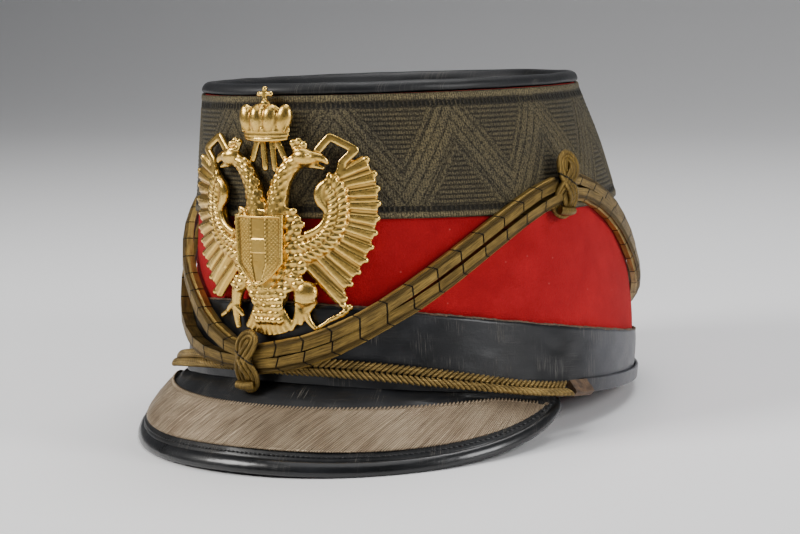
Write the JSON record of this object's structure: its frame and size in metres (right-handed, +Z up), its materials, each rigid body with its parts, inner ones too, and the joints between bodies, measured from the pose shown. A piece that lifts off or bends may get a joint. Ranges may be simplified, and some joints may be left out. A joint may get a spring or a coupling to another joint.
{
  "type": "shako hat",
  "caption": "Military shako with a scarlet cloth wall, patent leather top and peak, metal lace band, festoon cords and a gilt eagle plate.",
  "frame": {"origin": "middle of the hat's box, on the surface that it rests on", "axes": "+Z up as it rests, -Y to the wearer's front where the peak is, +X to the wearer's left"},
  "size_m": [0.1818, 0.2408, 0.1331],
  "materials": {
    "scarlet_cloth": "felted wool",
    "patent_leather": "gloss",
    "black_leather": "worn semi-gloss",
    "tan_leather": "worn matte",
    "metal_lace": "tarnished metal thread",
    "bullion_lace": "tarnished metal thread",
    "gold_cord": "antique gold thread",
    "gilt_brass": "bright gilt"
  },
  "bodies": {
    "root": {"body_wall": "scarlet_cloth", "top_crown": "patent_leather", "gold_lace": "metal_lace", "leather_band": "black_leather", "base_strip": "black_leather", "peak": "black_leather", "peak_lace": "bullion_lace", "peak_binding": "patent_leather", "chin_cord": "gold_cord", "chin_cord_end_left": "tan_leather", "chin_cord_end_right": "tan_leather", "festoon_upper_left": "gold_cord", "festoon_upper_right": "gold_cord", "festoon_upper_rear": "gold_cord", "festoon_lower_left": "gold_cord", "festoon_lower_right": "gold_cord", "festoon_lower_rear": "gold_cord", "front_knot": "gold_cord", "side_knot_left": "gold_cord", "side_knot_right": "gold_cord", "eagle_plate": "gilt_brass", "eagle_shield": "gilt_brass", "eagle_crown": "gilt_brass"}
  },
  "joints": []
}
